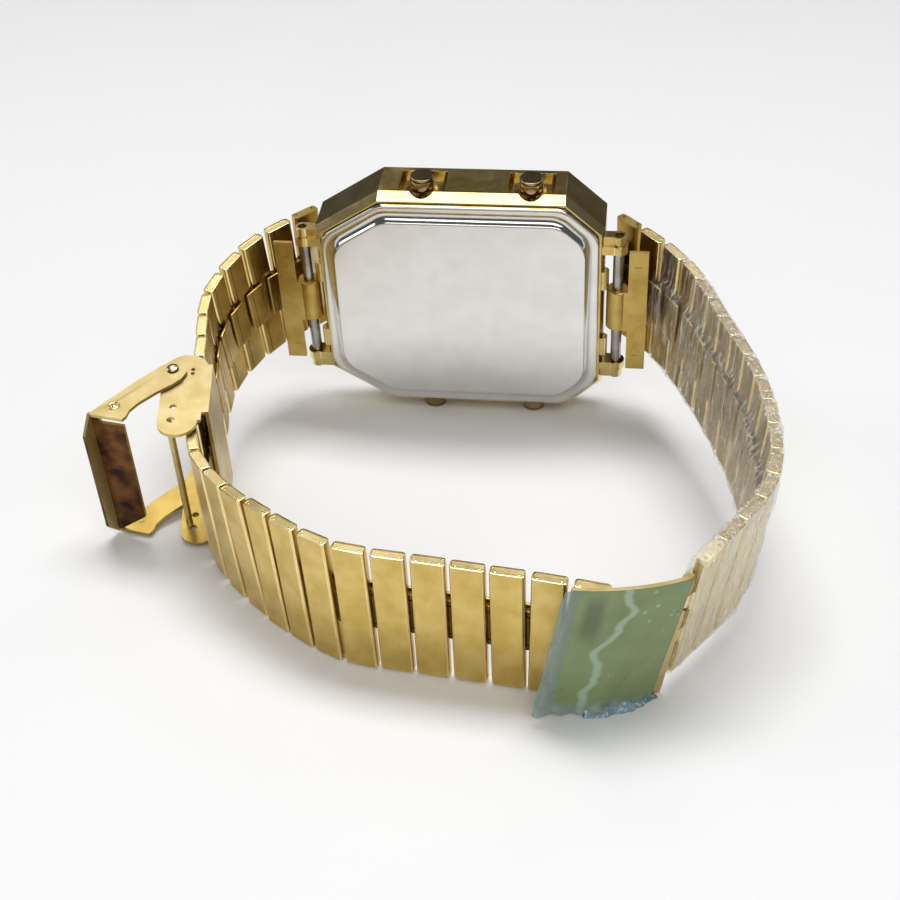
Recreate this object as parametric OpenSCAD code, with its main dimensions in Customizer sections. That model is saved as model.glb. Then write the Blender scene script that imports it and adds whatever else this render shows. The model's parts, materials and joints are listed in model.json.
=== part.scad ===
// Analog and digital wrist watch on a bracelet with a sliding clasp, standing on its 9 o'clock side.
// Units are millimetres. Everything is modelled in the frame of the case:
// X runs from 6 to 12 o'clock, Y from the case back to the dial, Z from 9 to 3 o'clock.
// The bracelet's hinge play lets the loop sag, so every link has its own tilt and lean in that frame.
// stand() then tips the finished watch onto its two lower pushers and the loop's lower edge.

/* [Case] */
// Half of the case length, from the middle to the 12 o'clock end
case_half_length = 20; // [17:0.1:23]
// Half of the case width, from the middle to the 3 o'clock side
case_half_width = 18.2; // [15:0.1:20]
// Case wall height from the back rim to the dial side edge
case_height = 7.4; // [6:0.1:9]
// Long leg of the two corner cuts at the 6 o'clock end
six_cut_long = 9.2; // [4:0.1:11]
// Short leg of the two corner cuts at the 6 o'clock end
six_cut_short = 5.9; // [3:0.1:8]
// Long leg of the two corner cuts at the 12 o'clock end
twelve_cut_long = 5.4; // [3:0.1:8]
// Short leg of the two corner cuts at the 12 o'clock end
twelve_cut_short = 5; // [3:0.1:8]
// Width of the bright slope round the back edge, along the sides
back_slope = 1.1; // [0.3:0.05:1.5]
// Height of that slope
back_slope_height = 1; // [0.5:0.1:2]
// Height of the raised bezel above the dial side edge
bezel_height = 0.6; // [0:0.1:1.2]
// How far the steel back stands out behind the case rim
back_rise = 1.45; // [0.8:0.05:2]

/* [Lugs] */
// Spring bar axis, distance beyond the ends of the case
bar_out = 1.9; // [0.5:0.1:4]
// Spring bar axis, height above the back rim
bar_y = 1.2; // [0.8:0.1:4]
// Inner face of each lug, half the free width between the lugs
lug_inner = 9.3; // [6:0.1:10]
// Step between the wide and the narrow part of a lug
lug_step = 10.6; // [9:0.1:11.5]
// Outer end of each lug
lug_outer = 12; // [10.5:0.1:13]
// Spring bar radius
bar_r = 0.75; // [0.5:0.05:1]

/* [Pushers] */
// Position of the 4 and 8 o'clock side pushers along the case
pusher_low_x = -4.9; // [-10:0.1:0]
// Position of the 2 and 10 o'clock side pushers along the case
pusher_high_x = 9.9; // [5:0.1:13]
// Pusher axis, height above the back rim
pusher_y = 2.6; // [2:0.1:5]
// Pusher cap radius
pusher_r = 1.6; // [1:0.05:2]
// How far a released pusher stands out of the case side
pusher_out = 1.6; // [1:0.1:2.5]
// Length of the flat-bottomed notch round each pusher
notch_length = 6.4; // [5:0.1:8]
// Depth of that notch
notch_depth = 0.8; // [0.3:0.1:1.5]

/* [Dial] */
// Centre of the hands along the case
hands_x = 4.2; // [0:0.1:8]
// Angle of the minute hand from 12 o'clock
minute_angle = 48; // [0:1:360]
// Angle of the hour hand from 12 o'clock
hour_angle = 304; // [0:1:360]

/* [Bracelet] */
// Length of one link from hinge to hinge
pitch = 4.46; // [3.5:0.01:5.5]
// Length of the plate of one link
plate_length = 4; // [3:0.05:5]
// Thickness of a link plate
plate_thick = 1.44; // [1:0.02:2]
// Rounding of the long edges of a plate
plate_edge = 0.45; // [0.2:0.05:0.7]
// Hinge axis, distance from the middle of the plate towards the wrist
hinge_in = 0.35; // [0:0.05:0.6]
// Half of the bracelet width at the case
band_half = 9.8; // [8:0.05:11]
// Loss of half width with each link
band_taper = 0.05; // [0:0.005:0.15]
// Hinge barrel radius
barrel_r = 0.42; // [0.3:0.02:0.6]
// Half length of the middle barrel
barrel_half = 2.1; // [1.5:0.1:4]
// Length of the barrels beside it
side_barrel = 0.85; // [0.6:0.05:2]
// Hinge pin radius
pin_r = 0.2; // [0.15:0.01:0.3]
// Play of the pin in its bores, which lets the bracelet sag
pin_play = 0.12; // [0.03:0.01:0.15]
// Free gap beside the barrels
barrel_gap = 0.14; // [0.05:0.01:0.2]
// Half length of a middle connector, measured along the bracelet
connector_half = 1.75; // [1:0.05:2]
// Half width of a middle connector, measured across the bracelet
connector_width = 3.2; // [2:0.1:5]
// Thickness of a middle connector
connector_thick = 0.45; // [0.3:0.05:0.8]

/* [Loop] */
// Where the first plate sits, beyond the spring bar and above the back rim
loop_start = [1.2, 8.1];
// Direction of the first plate, degrees anticlockwise from 12 o'clock
loop_heading = 225; // [200:1:260]
// Bends of the clasp side, as pairs of how many hinges and degrees each
clasp_side = [[1, 1], [1, 10], [2, 10], [1, 17], [1, 6], [4, 0], [1, 9], [1, 18], [1, 7], [1, 5], [2, 3],
  [1, 8], [1, 16], [1, 5], [5, 0]];
// Forward tilt of the clasp side's plates, as pairs of plate number and degrees
clasp_tilt = [[1, 0], [5, -6], [8, -2], [11, -2], [16, 6], [20, 3.5], [25, 3.5]];
// Sideways lean of the clasp side's plates in the same form
clasp_lean = [[1, 0], [3, -3], [7, 0], [9, 1], [11, 1], [15, -5], [21, 0], [23, 0], [25, 3]];
// Bends of the cover side
cover_side = [[1, 2], [2, 8], [1, 5], [1, 2], [2, 1], [3, 4.5], [1, 4], [1, 9], [1, 14], [1, 9], [2, 1]];
// Forward tilt of the cover side's plates
cover_side_tilt = [[1, 0], [5, 0], [8, 4], [12, 2], [17, 1]];
// Sideways lean of the cover side's plates
cover_side_lean = [[1, 0], [4, -4], [7, -2], [12, -6], [17, -9]];

/* [Sliding clasp] */
// First link of the straight run that the slider holds
held_first = 9; // [5:1:12]
// Number of links in that run
held_count = 3; // [2:1:6]
// Inner face of each slider cheek, half the free width between the cheeks
cheek_inner = 9.5; // [9:0.05:11]
// Sheet thickness of the slider and of the lever
sheet = 0.45; // [0.3:0.05:0.8]
// Opening of the lever as stored, degrees from lying along the links
lever_open = 46; // [3:1:90]

/* [Cover plate] */
// Middle of the cover plate's chord, from the middle between the two ends of the bracelet
cover_shift = [-2.79, -2.06, 0.04];
// Turn of the chord from the line between those ends, forward tilt and sideways lean of the plate
cover_turn = [5.46, 3.8, 9.3];
// How much longer the chord is than that line
cover_spare = 5.47; // [3:0.1:9]
// Bulge of the cover plate over its chord
cover_bulge = 0.8; // [0.5:0.1:2]
// Thickness of the cover plate
cover_thick = 0.6; // [0.4:0.05:1]
// Half of the cover plate width
cover_half = 9; // [8:0.1:10]
// Thickness of the protective film on it
film_thick = 0.12; // [0.05:0.01:0.2]

/* [Standing] */
// Lean of the case and loop on the table
lean = 9.9; // [0:0.1:15]
// Shift of the finished watch that puts the origin under the middle of its bounding box
origin_shift = [0.67, 27, 19.264];

/* [Hidden] */
// What is drawn: "all" or the name of one node
$fn = 48;
e = 0.01;
gold = [0.83, 0.68, 0.34];
steel = [0.75, 0.75, 0.74];
clasp_bends = [for (r = clasp_side) for (k = [1:r[0]]) r[1]];
cover_bends = [for (r = cover_side) for (k = [1:r[0]]) r[1]];
clasp_last = len(clasp_bends) + 1;
cover_last = len(cover_bends) + 1;
held_last = held_first + held_count - 1;
// Each side of the loop: bends, tilts and leans
clasp = [clasp_bends, clasp_tilt, clasp_lean];
cover = [cover_bends, cover_side_tilt, cover_side_lean];
cap_end = case_half_width + pusher_out;
bar_x = case_half_length + bar_out;
// Underside of the dial, display window and half sizes of the movement
dial_y = case_height - 1.9;
window = [4.7 - case_half_length, -8, case_half_width - 9.6];
inside = [case_half_length - 4, case_half_width - 5.6];
function two(i) = i < 10 ? str("0", i) : str(i);
function a_name(i) = str("a_link_", two(i));
function b_name(i) = str("b_link_", two(i));
a_free = [for (i = [2:clasp_last]) if (i < held_first || i > held_last) i];

// Turns about the three axes
function turn_x(a) = [[1, 0, 0], [0, cos(a), -sin(a)], [0, sin(a), cos(a)]];
function turn_y(a) = [[cos(a), 0, sin(a)], [0, 1, 0], [-sin(a), 0, cos(a)]];
function turn_z(a) = [[cos(a), -sin(a), 0], [sin(a), cos(a), 0], [0, 0, 1]];
function attitude(heading, tilt, lean) = turn_x(-tilt) * turn_y(lean) * turn_z(heading);

// Attitude, hinge and centre of plate i on a side of the loop
function total(v, n) = n <= 0 ? 0 : v[n - 1] + total(v, n - 1);
function plate_turn(s, i) = attitude(loop_heading + total(s[0], i - 1), lookup(i, s[1]), lookup(i, s[2]));
function centre(s, i) = i <= 1 ? [-bar_x - loop_start[0], loop_start[1], 0]
  : hinge(s, i - 1) + plate_turn(s, i) * [pitch / 2, -hinge_in, 0];
function hinge(s, i) = centre(s, i) + plate_turn(s, i) * [pitch / 2, hinge_in, 0];
function half_width(i) = band_half - band_taper * i;

// Whole watch placed on the table
module stand() {
  translate(origin_shift) rotate([lean, 0, 0]) children();
}

// The cover side mirrors the clasp side
module cover_flip() {
  mirror([1, 0, 0]) children();
}

module place(c, r) {
  multmatrix([concat(r[0], c[0]), concat(r[1], c[1]), concat(r[2], c[2]), [0, 0, 0, 1]]) children();
}

// Places a piece on plate i of a side; x runs along the bracelet, y towards the wrist
module on_link(s, i) {
  place(centre(s, i), plate_turn(s, i)) children();
}

// Solid between two heights over the back rim, from an outline in x and z
module slab(y0, y1) {
  translate([0, y1, 0]) rotate([90, 0, 0]) linear_extrude(y1 - y0) children();
}

// New length of one leg of a corner cut after moving both sides in by d
function leg(a, b, d) = a - d * (1 + (a - norm([a, b])) / b);

// Octagon corners, moved in by ix at the ends and iz at the sides
function octagon(ix, iz) =
  let (l = case_half_length - ix, w = case_half_width - iz, d = (ix + iz) / 2,
       sl = leg(six_cut_long, six_cut_short, d), ss = leg(six_cut_short, six_cut_long, d),
       tl = leg(twelve_cut_long, twelve_cut_short, d), ts = leg(twelve_cut_short, twelve_cut_long, d))
  [[-l + sl, w], [l - tl, w], [l, w - ts], [l, ts - w],
   [l - tl, -w], [sl - l, -w], [-l, ss - w], [-l, w - ss]];

module outline(ix, iz) {
  polygon(octagon(ix, iz));
}

// Slope between two octagons
module slope(y0, a, y1, b) {
  hull() {
    slab(y0, y0 + e) outline(a[0], a[1]);
    slab(y1 - e, y1) outline(b[0], b[1]);
  }
}

// The same with rounded corners
module soft_slope(y0, a, y1, b, r) {
  hull() {
    for (p = octagon(a[0] + r, a[1] + r)) translate([p[0], y0 + e, p[1]]) rotate([90, 0, 0])
      cylinder(r = r, h = e, $fn = 32);
    for (p = octagon(b[0] + r, b[1] + r)) translate([p[0], y1, p[1]]) rotate([90, 0, 0])
      cylinder(r = r, h = e, $fn = 32);
  }
}

module bar_at(x, y, z0, z1, r) {
  translate([x, y, z0]) cylinder(r = r, h = z1 - z0);
}

module box_at(a, b) {
  translate(a) cube(b - a);
}

// One lug: wide inner collar, narrow drilled outer end, block to the case
module lug() {
  difference() {
    union() {
      bar_at(bar_x, bar_y, lug_inner, lug_step, 1.25);
      bar_at(bar_x, bar_y, lug_step - e, lug_outer, 0.95);
      box_at([case_half_length - 0.6, 0.15, lug_inner], [bar_x, 2.45, lug_step]);
      box_at([case_half_length - 0.6, 0.5, lug_step - e], [bar_x, 2.1, lug_outer]);
    }
    bar_at(bar_x, bar_y, lug_inner - 1, lug_outer + 1, 0.6);
  }
}

// Small pads on the case end beside the spring bar
module end_pads() {
  for (z = [4.9, -6.5]) translate([case_half_length - 0.1, 0.9, z]) bar_at(0, 0, -1.5, 1.5, 0.75);
}

module notch(x) {
  slab(1.2, 6.2) polygon([[x - notch_length / 2, case_half_width + e], [x - notch_length / 2 + 0.6,
    case_half_width - notch_depth], [x + notch_length / 2 - 0.6, case_half_width - notch_depth],
    [x + notch_length / 2, case_half_width + e]]);
  slab(1.2, 6.2) polygon([[x - notch_length / 2, case_half_width], [x + notch_length / 2, case_half_width],
    [x + notch_length / 2, case_half_width + 1], [x - notch_length / 2, case_half_width + 1]]);
  bar_at(x, pusher_y, case_half_width - 1.6, case_half_width + 2, 2.3);
  bar_at(x, pusher_y, case_half_width - 5, case_half_width, 0.88);
}

module case_body() {
  color(gold) stand() difference() {
    union() {
      slab(back_slope_height - e, case_height - 0.4) outline(0, 0);
      slope(0, [0.45, back_slope], back_slope_height, [0, 0]);
      slope(case_height - 0.4 - e, [0, 0], case_height, [0.5, 0.5]);
      slope(case_height - e, [1.4, 1.4], case_height + bezel_height, [1.9, 1.9]);
      for (m = [0, 1]) mirror([m, 0, 0]) {
        lug();
        mirror([0, 0, 1]) lug();
        end_pads();
      }
    }
    slab(-1, dial_y + 0.4) outline(2.4, 2.4);
    slab(-1, 0.37) outline(0.68, 1.38);
    slab(dial_y - 0.5, case_height + 2) outline(3.9, 3.9);
    slab(case_height - 0.4, case_height + 2) outline(3.05, 3.05);
    for (x = [pusher_low_x, pusher_high_x], m = [0, 1]) mirror([0, 0, m]) notch(x);
  }
}

// Insets of the steel back's steps, from its outer edge to the inner flat
function back_in(t) = [0.75 + 1.8 * t, 1.45 + 2.86 * t];

module case_back() {
  color(steel) stand() {
    soft_slope(-0.2, back_in(0), 0.36, back_in(0), 1.8);
    soft_slope(-0.55, back_in(0.2), -0.2 + e, back_in(0.02), 1.7);
    soft_slope(-1.1, back_in(0.72), -0.55 + e, back_in(0.45), 1.5);
    soft_slope(-back_rise, back_in(0.95), -1.1 + e, back_in(0.84), 1.4);
  }
}

module back_gasket() {
  color([0.1, 0.1, 0.1]) stand() difference() {
    slab(0.4, 0.85) outline(2.5, 2.5);
    slab(0, 1) outline(3.1, 3.1);
  }
}

module crystal() {
  color([0.8, 0.88, 0.9, 0.35]) stand()
    slab(case_height - 0.35, case_height + bezel_height + 0.1) outline(3.12, 3.12);
}

// Display window, moved in by d
module display(d) {
  translate([window[0] + d, d - window[2]]) square([window[1] - window[0] - 2 * d, 2 * (window[2] - d)]);
}

module dial() {
  color([0.9, 0.82, 0.6]) stand() difference() {
    slab(dial_y, dial_y + 0.3) outline(2.6, 2.6);
    slab(dial_y - 1, dial_y + 1) display(0);
    translate([hands_x, dial_y + 1, 0]) rotate([90, 0, 0]) cylinder(r = 0.5, h = 2);
  }
}

module lcd() {
  color([0.62, 0.66, 0.55]) stand() slab(dial_y - 0.15, dial_y + 0.25) display(0.1);
}

module movement() {
  x = inside[0];
  z = inside[1];
  color([0.35, 0.34, 0.32]) stand() {
    difference() {
      slab(0.95, dial_y - 0.2)
        polygon([[2 - x, -z], [x - 2, -z], [x, 3 - z], [x, z - 3],
          [x - 2, z], [2 - x, z], [-x, z - 4], [-x, 4 - z]]);
      translate([-6, 3.3, 0]) rotate([90, 0, 0]) cylinder(r = 4.9, h = 3);
    }
    translate([hands_x, dial_y + 1.2, 0]) rotate([90, 0, 0]) cylinder(r = 0.3, h = 1.6);
  }
}

module battery() {
  color(steel) stand() translate([-6, 3.2, 0]) rotate([90, 0, 0]) cylinder(r = 4.75, h = 2.1);
}

// A hand: bored hub, tapering blade towards 12 o'clock, short tail
module hand(y0, y1, length, width, hub) {
  difference() {
    union() {
      slab(y0, y1) polygon([[-1.6, -width / 2], [0, -width / 2], [length, -0.15], [length, 0.15],
        [0, width / 2], [-1.6, width / 2]]);
      translate([0, y1, 0]) rotate([90, 0, 0]) cylinder(r = hub, h = y1 - y0);
    }
    translate([0, y1 + 1, 0]) rotate([90, 0, 0]) cylinder(r = 0.36, h = 3);
  }
}

module hour_hand() {
  color(gold) stand() translate([hands_x, 0, 0]) rotate([0, -hour_angle, 0])
    hand(dial_y + 0.5, dial_y + 0.68, 5.4, 1, 0.9);
}

module minute_hand() {
  color(gold) stand() translate([hands_x, 0, 0]) rotate([0, -minute_angle, 0])
    hand(dial_y + 0.84, dial_y + 1.02, 8, 0.8, 0.8);
}

// Pusher cap with a bevelled top, stem and clip inside the case
module pusher(x, side) {
  color(gold) stand() mirror([0, 0, side]) {
    bar_at(x, pusher_y, case_half_width - 0.5, cap_end - 0.4, pusher_r);
    translate([x, pusher_y, cap_end - 0.4 - e]) cylinder(r1 = pusher_r, r2 = 1.2, h = 0.4 + e);
    bar_at(x, pusher_y, case_half_width - 4.3, case_half_width - 0.5 + e, 0.8);
    bar_at(x, pusher_y, case_half_width - 3.1, case_half_width - 2.7, 1.2);
  }
}

module spring_bars() {
  color(steel) stand() for (m = [0, 1]) mirror([m, 0, 0]) {
    bar_at(bar_x, bar_y, 0.1 - lug_inner, lug_inner - 0.1, bar_r);
    bar_at(bar_x, bar_y, -11, 11, 0.5);
  }
}

// Rounded bar section, long side along x
module rounded(l, t, r) {
  square([l - 2 * r, t], center = true);
  square([l, t - 2 * r], center = true);
  for (x = [-1, 1], y = [-1, 1]) translate([x * (l / 2 - r), y * (t / 2 - r)]) circle(r = r, $fn = 24);
}

module upright(r, z0, z1) {
  translate([0, 0, z0]) cylinder(r = r, h = z1 - z0, $fn = 32);
}

// Plate of one link with the two small seam dimples in each end
module plate(b) {
  difference() {
    linear_extrude(2 * b, center = true) rounded(plate_length, plate_thick, plate_edge);
    for (x = [-1.35, 1.35], s = [-1, 1]) translate([x, -0.25, s * b])
      cylinder(r = 0.2, h = 0.5, center = true, $fn = 16);
  }
}

// Barrel, pin and middle connector on the leading hinge of a link
module lead_hinge(bend) {
  off = 0.55 + connector_half * sin(max(bend, 0) / 2);
  translate([pitch / 2, hinge_in, 0]) {
    upright(barrel_r, -barrel_half, barrel_half);
    upright(pin_r, -barrel_half - side_barrel, barrel_half + side_barrel);
    rotate([0, 0, bend / 2]) {
      translate([0, off + connector_thick / 2, 0]) linear_extrude(2 * connector_width, center = true)
        rounded(2 * connector_half, connector_thick, 0.2);
      translate([-0.2, 0.1, -barrel_half + 0.1]) cube([0.4, off, 2 * barrel_half - 0.2]);
    }
  }
}

// Room for the next link's side barrels in the leading edge
module lead_room() {
  for (s = [0, 1]) mirror([0, 0, s]) translate([pitch / 2, hinge_in, 0])
    upright(barrel_r + barrel_gap, barrel_half + e, barrel_half + side_barrel + 2 * barrel_gap);
}

// Side barrels on the trailing edge
module trail_barrels() {
  for (s = [0, 1]) mirror([0, 0, s]) translate([-pitch / 2, hinge_in, 0]) {
    upright(barrel_r, barrel_half + barrel_gap, barrel_half + side_barrel);
    translate([0, -0.3, barrel_half + barrel_gap]) cube([0.7, 0.6, side_barrel - barrel_gap]);
  }
}

// Room for the previous link's barrel and the bore for its pin
module trail_room() {
  translate([-pitch / 2, hinge_in, 0]) {
    upright(barrel_r + barrel_gap, -barrel_half - barrel_gap, barrel_half + barrel_gap);
    upright(pin_r + pin_play, -barrel_half - side_barrel - 1, barrel_half + side_barrel + 1);
  }
}

// A whole link: b is half its width, bend the angle to the next link
module link(b, bend, lead = true, trail = true) {
  difference() {
    union() {
      plate(b);
      if (trail) trail_barrels();
    }
    if (lead) lead_room();
    if (trail) trail_room();
  }
  if (lead) lead_hinge(bend);
}

module a_link(i) {
  color(gold) stand() on_link(clasp, i)
    link(half_width(i), i < clasp_last ? clasp_bends[i - 1] : 0);
}

// The clasp grips this straight run, so its links move as one
module a_held_links() {
  color(gold) stand() {
    for (i = [held_first:held_last]) on_link(clasp, i) {
      link(half_width(i), clasp_bends[i - 1], true, i == held_first);
      if (i > held_first) translate([-pitch / 2 - 0.3, -0.3, 0.3 - barrel_half])
        cube([0.7, 0.55, 2 * barrel_half - 0.6]);
    }
  }
}

// End piece: first plate, back wall, tube round the spring bar and the inner plate with its marks
module end_piece(side) {
  on_link(side, 1) link(half_width(1), side[0][0], true, false);
  difference() {
    union() {
      bar_at(-bar_x, bar_y, -3.3, 3.3, 1.3);
      box_at([-bar_x - 0.3, bar_y + 1, -6.2], [-bar_x + 0.2, 8.6, 6.2]);
      box_at([-bar_x - 4.1, -0.1, -3.3], [-bar_x, 0.4, 3.3]);
      box_at([-bar_x - 4.1, -0.1, -10], [-bar_x - 1.45, 0.4, 10]);
      box_at([-bar_x - 0.3, bar_y + 1, -3.3], [-bar_x + 0.2, bar_y + 1.4, 3.3]);
    }
    bar_at(-bar_x, bar_y, -4, 4, bar_r + 0.06);
    for (s = [-1, 1])
      box_at([-bar_x - 3.2, -0.3, s * 7.6 - 0.12], [-bar_x - 2.2, 0, s * 7.6 + 0.12]);
  }
}

module a_end_piece() {
  color(gold) stand() end_piece(clasp);
}

module b_end_piece() {
  color(gold) stand() cover_flip() end_piece(cover);
}

// Last link of the cover side ends in two open fingers
module b_last() {
  difference() {
    union() {
      plate(half_width(cover_last));
      trail_barrels();
    }
    trail_room();
    translate([pitch / 2, hinge_in, 0]) for (z = [[-8.4, -4.1], [-1.5, 1.5], [4.1, 8.4]])
      upright(0.9, z[0], z[1]);
  }
  for (s = [0, 1]) mirror([0, 0, s]) {
    translate([pitch / 2, hinge_in, 0]) upright(0.6, 1.8, 3.8);
    translate([1.6, -0.1, 1.8]) cube([0.6, 0.7, 2]);
  }
}

module b_link(i) {
  color(gold) stand() cover_flip() on_link(cover, i) {
    if (i < cover_last) link(half_width(i), cover_bends[i - 1]);
    else b_last();
  }
}

// Frame of the slider: origin in the middle of the held links, x along them, y towards the wrist
module on_slider() {
  on_link(clasp, (held_first + held_last) / 2) children();
}

lever_pivot = [-3.1, -3];
// The lever's pressed dimple, measured from its pivot, and the hole in the cheek that takes it
catch_reach = 9.4;
catch_hole = [5.9, -2.6];
rod_place = [4.7, -3.2];

module cheek_outline() {
  difference() {
    union() {
      translate([-3.5, -4.3]) square([9.7, 5.4]);
      translate([-3.5, -1.4]) circle(r = 2.9);
      translate([6.2, -1.8]) circle(r = 2.5);
      translate([-4.3, 0]) square([9.1, 2]);
    }
    for (x = [-3.5, -2.7]) translate([x, -0.5]) circle(r = 0.27);
    translate([3.5, -2.5]) circle(r = 0.45);
    translate(catch_hole) circle(r = 0.5);
  }
}

module slider_body() {
  color(gold) stand() on_slider() {
    for (s = [0, 1]) mirror([0, 0, s]) {
      translate([0, 0, cheek_inner]) linear_extrude(sheet) cheek_outline();
      translate(lever_pivot) upright(0.4, cheek_inner + sheet - e, cheek_inner + 2 * sheet + 0.3);
      translate(lever_pivot) upright(0.65, cheek_inner + 2 * sheet + 0.22, cheek_inner + 2 * sheet + 0.45);
    }
    // Back of the slider, between the band and the wrist
    translate([-4.3, 1.55, -cheek_inner - sheet]) cube([9.1, 0.45, 2 * (cheek_inner + sheet)]);
    translate(rod_place) upright(0.45, -cheek_inner - e, cheek_inner + e);
  }
}

// Arm of the lever, drawn along the line from its pivot to its dimple
module arm_outline() {
  difference() {
    polygon([[-1.2, -0.9], [-0.6, -1.4], [0.4, -1.6], [5, -1.7], [9, -1.55], [12.5, -1.3], [10.3, 2.7],
      [9.6, 2.6], [8.6, 2], [7, 1.75], [4.2, 1.85], [2, 2.2], [0.4, 2.2],
      [-0.9, 1.7], [-1.6, 0.6], [-1.6, -0.3]]);
    circle(r = 0.46);
  }
}

module lever() {
  arm0 = cheek_inner + sheet + 0.12;
  color(gold) stand() on_slider() translate(lever_pivot) rotate([0, 0, -lever_open]) {
    for (s = [0, 1]) mirror([0, 0, s]) difference() {
      union() {
        translate([0, 0, arm0]) linear_extrude(sheet) arm_outline();
        translate([catch_reach, 0, 0]) upright(0.4, arm0 - 0.08, arm0 + e);
      }
      translate([catch_reach, 0, arm0]) upright(0.35, 0.25, 1);
    }
    // Cross plate between the arm ends, with its inner corners cut away to pass the cheeks
    translate([12.5, -1.3, 0]) rotate([0, 0, 119]) rotate([90, 0, 0]) translate([0, 0, -sheet])
      linear_extrude(sheet) polygon([[0, -arm0 - e], [0.6, -arm0 - e], [4.58, -6.9],
        [4.58, 9.3], [1.5, 9.3], [1.3, arm0 + e], [0, arm0 + e]]);
    // Finger lip along its outer edge
    translate([12.2, -1.55, 0]) rotate([90, 0, 12]) translate([0, 0, -sheet]) linear_extrude(sheet)
      polygon([[0, -arm0 - sheet], [0.3, -arm0 - sheet], [1.9, -8.4],
        [1.9, 7.8], [0.3, arm0 + sheet], [0, arm0 + sheet]]);
  }
}

// Ends of the bracelet, and the cover plate between them: x along its chord, y towards the wrist
clasp_end = hinge(clasp, clasp_last);
cover_end = [-hinge(cover, cover_last)[0], hinge(cover, cover_last)[1], hinge(cover, cover_last)[2]];
reach = cover_end - clasp_end;
cover_middle = (clasp_end + cover_end) / 2 + cover_shift;
cover_chord = norm(reach) + cover_spare;
cover_radius = (pow(cover_chord / 2, 2) + pow(cover_bulge, 2)) / (2 * cover_bulge);
cover_angle = 2 * asin(cover_chord / 2 / cover_radius);

cover_attitude = attitude(atan2(reach[1], reach[0]) + cover_turn[0], cover_turn[1], cover_turn[2]);
// Open pivot seen from the cover plate
pivot = (cover_end - cover_middle) * cover_attitude;

module on_cover() {
  place(cover_middle, cover_attitude) children();
}

module at_pivot() {
  cover_flip() on_link(cover, cover_last) translate([pitch / 2, hinge_in, 0]) children();
}

// Curved sheet between two radii and two angles from the middle of the plate
module curved(r0, r1, a0, a1, z0, z1) {
  translate([0, cover_radius - cover_bulge, 0]) rotate([0, 0, a0 - 90])
    rotate_extrude(angle = a1 - a0, $fn = 96) translate([r0, z0]) square([r1 - r0, z1 - z0]);
}

module cover_plate() {
  r0 = cover_radius - cover_thick / 2;
  color(gold) stand() {
    difference() {
      on_cover() curved(r0, r0 + cover_thick, -cover_angle / 2, cover_angle / 2, -cover_half, cover_half);
      at_pivot() for (z = [-4, 1.6]) upright(0.85, z, z + 2.4);
    }
    // Knuckles of the open pivot on the cover side, each on a block at the end of the plate
    for (z = [[-8, -4.4], [-1.2, 1.2], [4.4, 6.2]]) {
      at_pivot() upright(0.6, z[0], z[1]);
      on_cover() translate(pivot + [-0.9, -0.8, z[0]]) cube([0.95, 1, z[1] - z[0]]);
    }
    // Ears of the hinge to the last clasp side link
    on_link(clasp, clasp_last) translate([pitch / 2, hinge_in, 0]) difference() {
      for (s = [0, 1]) mirror([0, 0, s]) translate([0, 0, barrel_half + barrel_gap]) {
        upright(barrel_r, 0, side_barrel - barrel_gap);
        translate([0.1, -2.3, 0]) cube([0.6, 2.3, side_barrel - barrel_gap]);
      }
      upright(pin_r + pin_play, -5, 5);
    }
  }
}

// Protective film, cut a little askew
module cover_film() {
  r1 = cover_radius + cover_thick / 2 + 0.03;
  color([0.35, 0.6, 0.55, 0.6]) stand() on_cover() intersection() {
    curved(r1, r1 + film_thick, -cover_angle / 2, cover_angle / 2, -cover_half, cover_half);
    translate([0, 5, 0]) rotate([90, 0, 0]) linear_extrude(20)
      polygon([[-cover_chord, 9.2], [cover_chord / 2 - 0.75, 9.2],
        [cover_chord / 2 - 1.25, -9.2], [-cover_chord, -9.2]]);
  }
}

case_body();
case_back();
back_gasket();
crystal();
dial();
lcd();
movement();  // module
battery();
hour_hand();
minute_hand();
pusher(pusher_high_x, 0);  // pusher_2
pusher(pusher_low_x, 0);  // pusher_4
pusher(pusher_low_x, 1);  // pusher_8
pusher(pusher_high_x, 1);  // pusher_10
spring_bars();
a_end_piece();
a_held_links();
for (i = a_free) a_link(i);
slider_body();
lever();
cover_plate();
cover_film();
b_end_piece();
for (i = [2:cover_last]) b_link(i);
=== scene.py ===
# Gold-tone analog and digital wrist watch seen from behind, with its sliding clasp open.
import json
import math
import bmesh
import bpy
from mathutils import Matrix, Vector, noise

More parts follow.
